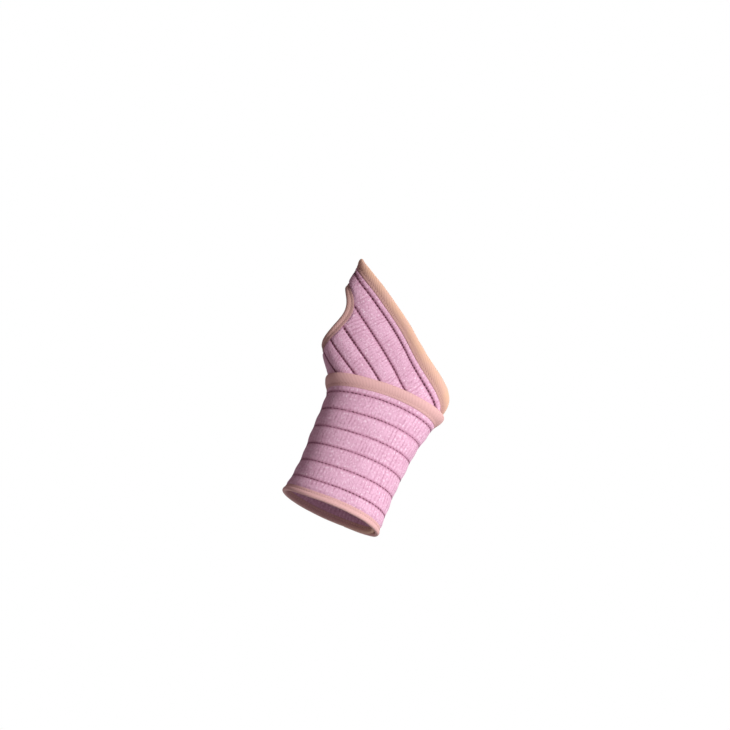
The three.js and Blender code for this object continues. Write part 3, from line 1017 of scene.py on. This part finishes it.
@dataclass
class WovenLines:
    """The dark yarn that shows as a broken line in each groove of the strip."""

    strip: ElasticStrip
    pitch: float = RIB_PITCH
    height: float = 0.24 * MM
    stand_off: float = 0.4  # of a bar's middle from the groove, as a share of its height
    bold_width: float = 1.35 * MM
    fine_width: float = 0.6 * MM
    change: float = SEAM
    half_length: float = 0.32  # a share of the pitch, as are the three below
    length_swing: float = 0.06
    place_swing: float = 0.12
    clearance: float = 0.4
    width_swing: float = 0.3
    fuller_swing: float = 0.35
    swell_length: float = 17 * MM
    slant: float = 0.2
    slant_swing: float = 0.08

    def yarns(self) -> tuple[LineYarn, LineYarn]:
        """The bold yarn of the stretched first length, and the finer one of the second."""
        margin = self.strip.end_tape + self.strip.swell
        end = self.strip.path.length - margin
        return (
            LineYarn("lines_crossing", margin, self.change, self.bold_width, BOLD_YARN),
            LineYarn("lines_outer_turn", self.change, end, self.fine_width, FINE_YARN),
        )

    def make(self) -> list[bpy.types.Object]:
        """Builds and dresses the yarn of every line.

        Returns:
            One piece for each yarn.
        """
        return [self._stretch(yarn) for yarn in self.yarns()]

    def _stretch(self, yarn: LineYarn) -> bpy.types.Object:
        """Builds the lines of one yarn."""
        strip, pitch = self.strip, self.pitch
        count = int((yarn.end - yarn.start) / pitch)
        along, across = np.meshgrid(yarn.start + pitch * (0.5 + np.arange(count)), strip.lines())
        along, across = along.ravel(), across.ravel()
        along = along + self.place_swing * pitch * Waver(21)(along / pitch * 1.3, across / MM)
        shown = strip.beyond_hole(along, across) > strip.hole_tape + self.clearance * pitch
        along, across = along[shown], across[shown]
        uneven = Waver(23)(along / pitch * 1.7, across / MM + 0.5)
        fuller = Waver(27)(along / self.swell_length, across / MM)
        size = np.stack([
            pitch * (self.half_length + self.length_swing * uneven),
            yarn.width / 2 * (1 + self.width_swing * uneven + self.fuller_swing * fuller),
            np.full_like(along, self.height),
        ], axis=1)
        rise = strip.half(along, across) + self.stand_off * self.height
        slant = self.slant + self.slant_swing * Waver(25)(along / pitch * 1.9, across / MM)
        piece = Stitches(strip.path).build(yarn.name, along, across, rise, size, slant)
        piece.data.materials.append(yarn.finish.make())
        return hand_over(piece, "elastic_cloth")


class Edge(Enum):
    """The four edges that a tape folds over."""

    UPPER = "distal_edge_binding"
    LOWER = "proximal_edge_binding"
    INNER_END = "palm_end_binding"
    OUTER_END = "closure_end_binding"


@dataclass
class FoldedTape:
    """A tape folded over an edge and sewn down, with a rolled fold and a flat stitched margin."""

    path: StripPath
    width: float
    room: float = 0.42 * MM
    thinnest: float = 0.05 * MM
    outside_from: float = 1.05  # times the room: a corner that stands off further is on the outside
    roll: float = 1.3 * MM
    flatter: float = 0.9  # how much lower the inner leg lies than the outer one
    bevel: float = 0.12 * MM
    cavity_start: float = 0.6 * MM
    mitre_gap: float = 0.12 * MM
    seam_inset: float = 1.7 * MM
    pucker: float = 0.07 * MM
    pucker_start: float = 0.4  # a share of the width
    lump: float = 0.08 * MM
    wobble: float = 0.16 * MM
    lump_length: float = 11 * MM
    step: float = 0.6 * MM
    stitch_pitch: float = 1.55 * MM
    stitch_length: float = 1.9 * MM
    stitch_width: float = 0.3 * MM
    stitch_height: float = 0.13 * MM
    stitch_rise: float = 0.53  # a share of the roll
    stitch_slant: float = 0.95

    def profile(self) -> Array:
        """Lists the section's corners as (inwards, rise), round from the outer leg's end.

        Rises start as shares of the roll, and the bead's places as shares of the way to the seam.

        Returns:
            The corners, in rows of two.
        """
        seam = self.width - self.seam_inset
        margin = [(self.width, 0.38), (self.width - self.bevel, 0.47), (seam + 0.5 * self.seam_inset, 0.55)]
        stitched = [(seam + 0.2 * self.seam_inset, 0.57), (seam, 0.5), (seam - 0.2 * self.seam_inset, 0.6)]
        bead = [(0.8, 0.79), (0.62, 0.94), (0.42, 1.0), (0.25, 0.92), (0.11, 0.71), (0.035, 0.4), (0, 0.14)]
        outer = margin + stitched + [(share * seam, rise) for share, rise in bead]
        outer = [(inwards, rise * self.roll) for inwards, rise in outer]
        inner = [(inwards, -rise * self.flatter) for inwards, rise in reversed(outer)]
        fold, room = self.cavity_start, self.room
        cavity = [(self.width, -room), (fold, -room), (fold, room), (self.width, room)]
        return np.array(outer + inner + cavity)

    def edge_place(self, edge: Edge, crossing: float) -> TapePlace:
        """Says how a place on the tape maps to the strip, with a mitre at both ends.

        Args:
            edge: The edge that the tape folds over.
            crossing: The width of the tapes that it meets at its ends, as a share of its own.

        Returns:
            A function of the share along the tape, the length inwards and the rise.
        """
        path = self.path

        def place(share: Array, inwards: Array, rise: Array) -> Array:
            """Maps a place on the tape."""
            cut = inwards * crossing + self.mitre_gap
            if edge in (Edge.UPPER, Edge.LOWER):
                along = cut + share * (path.length - 2 * cut)
                across = inwards if edge is Edge.UPPER else path.width - inwards
            else:
                across = cut + share * (path.width - 2 * cut)
                along = inwards if edge is Edge.INNER_END else path.length - inwards
            return path.place(along, across, rise)

        return place

    def sweep(self, name: str, place: TapePlace, length: float, ring: bool, flip: bool) -> bpy.types.Object:
        """Carries the section along its edge.

        Args:
            name: The piece's name.
            place: Maps the share along, the length inwards and the rise to a point.
            length: About how long the tape is.
            ring: Whether it closes on itself.
            flip: Whether the faces turn round to look outwards.

        Returns:
            The piece.
        """
        profile = self.profile()
        count = math.ceil(length / self.step)
        share = np.arange(count) / count if ring else np.linspace(0, 1, count + 1)
        share, inwards = np.broadcast_arrays(share[:, None], profile[None, :, 0])
        at = share * length
        side = np.sign(profile[None, :, 1])
        pucker = self.pucker * np.cos(2 * np.pi * at / self.stitch_pitch)
        pucker = pucker * ease(inwards, self.pucker_start * self.width, self.width - self.seam_inset)
        cycles = max(3, round(length / self.lump_length))
        uneven = 0 if ring else 1
        lumps = self.lump * Waver(31)(share * cycles, side * 9.0) * uneven
        is_outside = np.abs(profile[None, :, 1]) > self.room * self.outside_from
        rise = profile[None, :, 1] + side * is_outside * (pucker + lumps)
        full = side * np.maximum(np.abs(rise), self.room + self.thinnest)
        rise = np.where(is_outside, full, rise)
        wobble = self.wobble * Waver(33)(share * cycles * 1.7, np.full_like(share, 0.5)) * uneven
        points = place(share, inwards + wobble * ease(inwards, self.width, 0.0), rise)
        corners = profile.shape[0]
        quads = quads_of_grid(len(share), corners, ring=ring, tube=True)
        quads = quads[:, ::-1] if flip else quads
        faces = [quads]
        if not ring:
            first = np.arange(corners)[None]
            last = first[:, ::-1] + (len(share) - 1) * corners
            faces += [first[:, ::-1], last[:, ::-1]] if flip else [first, last]
        uv = np.stack([at, np.broadcast_to(inwards, at.shape)], axis=-1) / UV_UNIT
        return mesh_piece(name, points, faces, uv)

    def sew(self, name: str, place: StitchPlace, length: float) -> bpy.types.Object:
        """Lays a row of stitches on both faces of the tape.

        Args:
            name: The piece's name.
            place: Maps the length along the tape and inwards to along, across and slant on the strip.
            length: About how long the tape is.

        Returns:
            The piece.
        """
        count = int(length / self.stitch_pitch)
        at = (np.arange(count) + 0.5) * length / count
        along, across, slant = place(at, np.full_like(at, self.width - self.seam_inset))
        rise = self.stitch_rise * self.roll
        size = np.tile([self.stitch_length / 2, self.stitch_width / 2, self.stitch_height], (2 * count, 1))
        both = [np.tile(value, 2) for value in (along, across, slant + self.stitch_slant)]
        sides = np.repeat([rise, -rise * self.flatter], count)
        piece = Stitches(self.path).build(name, both[0], both[1], sides, size, both[2])
        piece.data.materials.append(THREAD.make())
        return hand_over(piece, "edge_tape")


@dataclass
class EdgeTapes:
    """The tapes on the strip's four edges, mitred where they meet."""

    path: StripPath
    upper_width: float = UPPER_TAPE_WIDTH
    lower_width: float = LOWER_TAPE_WIDTH
    end_width: float = END_TAPE_WIDTH

    def make(self, finish: bpy.types.Material) -> list[bpy.types.Object]:
        """Builds, dresses and sews each tape.

        Args:
            finish: The tape's material.

        Returns:
            The tapes and their stitches.
        """
        widths = {Edge.UPPER: self.upper_width, Edge.LOWER: self.lower_width}
        pieces = []
        for edge in Edge:
            width = widths.get(edge, self.end_width)
            long_edge = edge in widths
            length = self.path.length if long_edge else self.path.width
            crossing = self.end_width / width if long_edge else 1.0
            tape = FoldedTape(self.path, width)
            flip = edge in (Edge.LOWER, Edge.INNER_END)
            place = tape.edge_place(edge, crossing)
            piece = tape.sweep(f"tape_{edge.name.lower()}", place, length, False, flip)
            piece.data.materials.append(finish)
            pieces.append(hand_over(piece, "edge_tape", edge.value))
            pieces.append(tape.sew(f"stitches_{edge.name.lower()}", self._stitch_place(edge), length))
        return pieces

    def _stitch_place(self, edge: Edge) -> StitchPlace:
        """Says where a stitch lies on the strip for one edge."""
        path = self.path

        def place(at: Array, inwards: Array) -> tuple[Array, Array, Array]:
            """Maps a place on the tape to along, across and slant."""
            level = np.zeros_like(at)
            upright = np.full_like(at, np.pi / 2)
            return {
                Edge.UPPER: (at, inwards, level),
                Edge.LOWER: (at, path.width - inwards, level),
                Edge.INNER_END: (inwards, at, upright),
                Edge.OUTER_END: (path.length - inwards, at, upright),
            }[edge]

        return place


@dataclass
class ThumbHoleTape:
    """The tape folded over the edge of the thumb hole."""

    strip: ElasticStrip
    width: float = HOLE_TAPE_WIDTH

    def _around(self, angle: Array, outwards: Array) -> tuple[Array, Array]:
        """A place on the hole's outline, grown outwards, as along and across."""
        strip = self.strip
        along = strip.hole_along + (strip.hole_length / 2 + outwards) * np.cos(angle)
        across = strip.hole_across + (strip.hole_width / 2 + outwards) * np.sin(angle)
        return along, across

    def make(self, finish: bpy.types.Material) -> list[bpy.types.Object]:
        """Builds, dresses and sews the tape.

        Args:
            finish: The tape's material.

        Returns:
            The tape and its stitches.
        """
        path, strip = self.strip.path, self.strip
        length = np.pi * (strip.hole_length + strip.hole_width) / 2 + np.pi * self.width
        tape = FoldedTape(path, self.width)

        def place(share: Array, outwards: Array, rise: Array) -> Array:
            """Maps a place on the tape."""
            return path.place(*self._around(2 * np.pi * share, outwards), rise)

        def stitch(at: Array, outwards: Array) -> tuple[Array, Array, Array]:
            """Maps a stitch to along, across and slant."""
            angle = 2 * np.pi * at / length
            along, across = self._around(angle, outwards)
            slant = np.arctan2(strip.hole_width * np.cos(angle), -strip.hole_length * np.sin(angle))
            return along, across, slant

        piece = tape.sweep("tape_thumb_hole", place, length, True, True)
        piece.data.materials.append(finish)
        hand_over(piece, "edge_tape", "thumb_hole_binding")
        return [piece, tape.sew("stitches_thumb_hole", stitch, length)]


@dataclass
class HookTab:
    """The hook tape that holds the outer end on the turn below it."""

    path: StripPath
    length: float = 22 * MM
    width: float = 46 * MM
    thickness: float = 1.0 * MM
    setback: float = 8 * MM
    grid: tuple[int, int] = (45, 93)
    rounding: tuple[int, int] = (24, 40)  # the higher, the sharper the tab's edges
    edge_share: float = 0.4  # of the thickness, at the tab's edges
    backing_share: float = 0.62  # of the thickness; the hooks take the rest
    hook_pitch: float = 1.6 * MM
    hook_half_sizes: tuple[float, ...] = (0.32 * MM, 0.22 * MM, 0.2 * MM)
    hook_slant: float = 0.6

    def make(self) -> list[bpy.types.Object]:
        """Builds and dresses the tab and its hooks.

        Returns:
            The tab, and the hooks on it.
        """
        path = self.path
        start = path.length - self.setback - self.length
        top = (path.width - self.width) / 2
        middle = -path.layer_rise / 2
        rows, columns = self.grid
        u, v = np.meshgrid(np.linspace(-1, 1, rows), np.linspace(-1, 1, columns), indexing="ij")
        ends, edges = self.rounding
        rim = np.clip(1 - np.maximum(np.abs(u) ** ends, np.abs(v) ** edges), 0, 1) ** 0.5
        along = start + self.length * (u + 1) / 2
        across = top + self.width * (v + 1) / 2
        half = self.thickness / 2 * self.backing_share
        thick = half * (self.edge_share + (1 - self.edge_share) * rim)
        sides = [path.place(along, across, middle + side * thick) for side in (1, -1)]
        quads = quads_of_grid(rows, columns)
        under = rows * columns
        border = np.concatenate([
            np.arange(columns), np.arange(1, rows) * columns + columns - 1,
            (rows - 1) * columns + np.arange(columns - 1)[::-1], np.arange(1, rows - 1)[::-1] * columns,
        ])
        after = np.roll(border, -1)
        walls = np.stack([after, border, border + under, after + under], axis=1)
        points = np.concatenate([side.reshape(-1, 3) for side in sides])
        uv = np.tile(np.stack([along, across], axis=-1).reshape(-1, 2) / UV_UNIT, (2, 1))
        tab = mesh_piece("hook_tape", points, [quads[:, ::-1], quads + under, walls], uv)
        tab.data.materials.append(HOOK_YARN.make())
        hand_over(tab, "hook_tape", "hook_tab")
        a, c = np.meshgrid(
            np.arange(start + self.hook_pitch, start + self.length - self.hook_pitch / 2, self.hook_pitch),
            np.arange(top + self.hook_pitch, top + self.width - self.hook_pitch / 2, self.hook_pitch),
        )
        a, c = a.ravel(), c.ravel()
        rise, slant = np.full_like(a, middle - half), np.full_like(a, self.hook_slant)
        size = np.tile(self.hook_half_sizes, (len(a), 1))
        hooks = Stitches(path).build("hooks", a, c, rise, size, slant)
        hooks.data.materials.append(HOOK_YARN.make())
        return [tab, hand_over(hooks, "hook_tape")]


@dataclass(frozen=True)
class Lamp:
    """One soft square lamp: where it stands, its side, its power in watts and its colour."""

    name: str
    place: tuple[float, float, float]
    size: float
    power: float
    tint: tuple[float, float, float]


LAMPS = (
    Lamp("key", (0.78, -1.03, 0.4), 0.45, 22.5, (1.0, 0.98, 0.96)),
    Lamp("side", (1.3, 0.0, 0.3), 0.6, 1.5, (1.0, 0.98, 0.98)),
    Lamp("back", (0.8, 1.0, 0.6), 0.9, 6.0, (1.0, 0.98, 0.97)),
    Lamp("fill", (-1.2, -0.5, 0.1), 0.8, 1.0, (1.0, 0.3, 0.4)),
)


@dataclass
class Studio:
    """A pale floor well below the wrap, soft lamps, and the camera at the photograph's angle."""

    picture_px: float = 730.0
    metres_per_px: float = 0.62 * MM
    origin_px: tuple[float, float] = (330.0, 508.0)
    axis_px: tuple[float, float] = (0.417, -0.909)
    side_offset: float = 1.45 * MM
    axis_offset: float = -2.4 * MM
    mount_height: float = MOUNT_HEIGHT
    look_up: float = math.radians(12.5)
    distance: float = 1.6
    sensor_width: float = 36.0
    clip: tuple[float, float] = (0.01, 50.0)
    floor_half: float = 14.0
    floor_drop: float = 2.0
    lamp_aim: tuple[float, float, float] = (0.0, 0.0, 0.04)
    overhead_strength: float = 0.95
    overhead_angle: float = math.radians(60)
    surround: tuple[float, ...] = opaque(1.0, 0.72, 0.74)
    surround_strength: float = 0.005

    def camera(self) -> bpy.types.Object:
        """Places the camera so that the wrap fills the same pixels as in the photograph.

        Returns:
            The camera.
        """
        along_x, along_y = self.axis_px
        side_x, side_y = -along_y, along_x
        aim_px = (self.picture_px / 2 - self.origin_px[0], self.picture_px / 2 - self.origin_px[1])
        side = (aim_px[0] * side_x + aim_px[1] * side_y) * self.metres_per_px - self.side_offset
        up = (aim_px[0] * along_x + aim_px[1] * along_y) * self.metres_per_px - self.axis_offset
        up -= self.mount_height * math.cos(self.look_up)
        sight = Vector((0, math.cos(self.look_up), math.sin(self.look_up)))
        upward = Vector((0, -math.sin(self.look_up), math.cos(self.look_up)))
        sideways = Vector((1, 0, 0))
        right = side_x * sideways + along_x * upward
        top = -side_y * sideways - along_y * upward
        aim = side * sideways + up * upward
        data = bpy.data.cameras.new("camera")
        data.sensor_width = self.sensor_width
        data.lens = self.sensor_width * self.distance / (self.picture_px * self.metres_per_px)
        data.clip_start, data.clip_end = self.clip
        camera = bpy.data.objects.new("camera", data)
        turn = Matrix((right, top, -sight)).transposed().to_4x4()
        camera.matrix_world = Matrix.Translation(aim - self.distance * sight) @ turn
        bpy.context.scene.collection.objects.link(camera)
        bpy.context.scene.camera = camera
        return camera

    def light(self, lamp: Lamp) -> None:
        """Adds one soft lamp, pointed at the wrap."""
        data = bpy.data.lights.new(lamp.name, "AREA")
        data.size, data.energy, data.color = lamp.size, lamp.power, lamp.tint
        light = bpy.data.objects.new(lamp.name, data)
        light.location = lamp.place
        sight = Vector(self.lamp_aim) - Vector(lamp.place)
        light.rotation_euler = sight.to_track_quat("-Z", "Y").to_euler()
        bpy.context.scene.collection.objects.link(light)

    def make(self) -> None:
        """Builds the floor, the lamps, the world and the camera."""
        half = self.floor_half
        corners = ((-half, -half), (half, -half), (half, half), (-half, half))
        points = np.array([(x, y, -self.floor_drop) for x, y in corners])
        floor = mesh_piece("floor", points, [np.array([[0, 1, 2, 3]])])
        floor.data.materials.append(PlainFinish().make())
        floor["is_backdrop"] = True
        for lamp in LAMPS:
            self.light(lamp)
        self.overhead()
        self._world()
        self.camera()

    def overhead(self) -> None:
        """Adds the broad light from above that keeps the whole floor pale."""
        data = bpy.data.lights.new("overhead", "SUN")
        data.energy, data.angle = self.overhead_strength, self.overhead_angle
        bpy.context.scene.collection.objects.link(bpy.data.objects.new("overhead", data))

    def _world(self) -> None:
        """Gives a white surround that lights the wrap only softly."""
        world = bpy.data.worlds.new("surround")
        world.use_nodes = True
        bpy.context.scene.world = world
        nodes, links = world.node_tree.nodes, world.node_tree.links
        shade = nodes["Background"]
        shade.inputs["Color"].default_value = self.surround
        shade.inputs["Strength"].default_value = self.surround_strength
        seen = nodes.new("ShaderNodeBackground")
        seen.inputs["Color"].default_value = opaque(1.0, 1.0, 1.0)
        seen.inputs["Strength"].default_value = 1.0
        ray = nodes.new("ShaderNodeLightPath")
        choose = nodes.new("ShaderNodeMixShader")
        links.new(ray.outputs["Is Camera Ray"], choose.inputs[0])
        links.new(shade.outputs[0], choose.inputs[1])
        links.new(seen.outputs[0], choose.inputs[2])
        links.new(choose.outputs[0], nodes["World Output"].inputs[0])


def declare_cloth(
    lengths: Sequence[bpy.types.Object], strip: ElasticStrip, trims: Sequence[bpy.types.Object],
) -> None:
    """Works out how long each length of cloth is when it lies flat, and which trims go with the first, but
    hands neither on.

    Args:
        lengths: The two lengths of the strip.
        strip: The strip's sizes.
        trims: The tapes, stitches and yarn that go with the first length.
    """
    flats = (strip.seam, strip.path.length - strip.seam)
    for piece, flat in zip(lengths, flats):
        going = list(trims) if piece is lengths[0] else []


def write_sizes() -> None:
    """Works out the solids' box and the dressed wrap's box as plain lists, but writes nothing."""
    boxes = {"cad": cad_box, "visual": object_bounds()}
    plain = {name: [[float(x) for x in corner] for corner in box] for name, box in boxes.items()}


def main() -> None:
    """Builds the wrap piece by piece, then the studio round it."""
    logging.basicConfig(level=logging.INFO, format="%(name)s: %(message)s")
    bpy.context.scene.view_settings.view_transform = "Standard"
    path = StripPath(WornForm())
    strip = ElasticStrip(path)
    tape_finish, hole_shade_finish = EDGE_TAPE.make(), HOLE_TAPE.make()
    lengths = strip.make()
    trims = [*WovenLines(strip).make(), *EdgeTapes(path).make(tape_finish)]
    trims += ThumbHoleTape(strip).make(hole_shade_finish)
    tab = HookTab(path).make()
    for piece in (*lengths, *trims, *tab):
        LOG.info("%s has %d faces", piece.name, len(piece.data.polygons))
    declare_cloth(lengths, strip, trims)
    Studio().make()
    write_sizes()


if __name__ == "__main__":
    main()
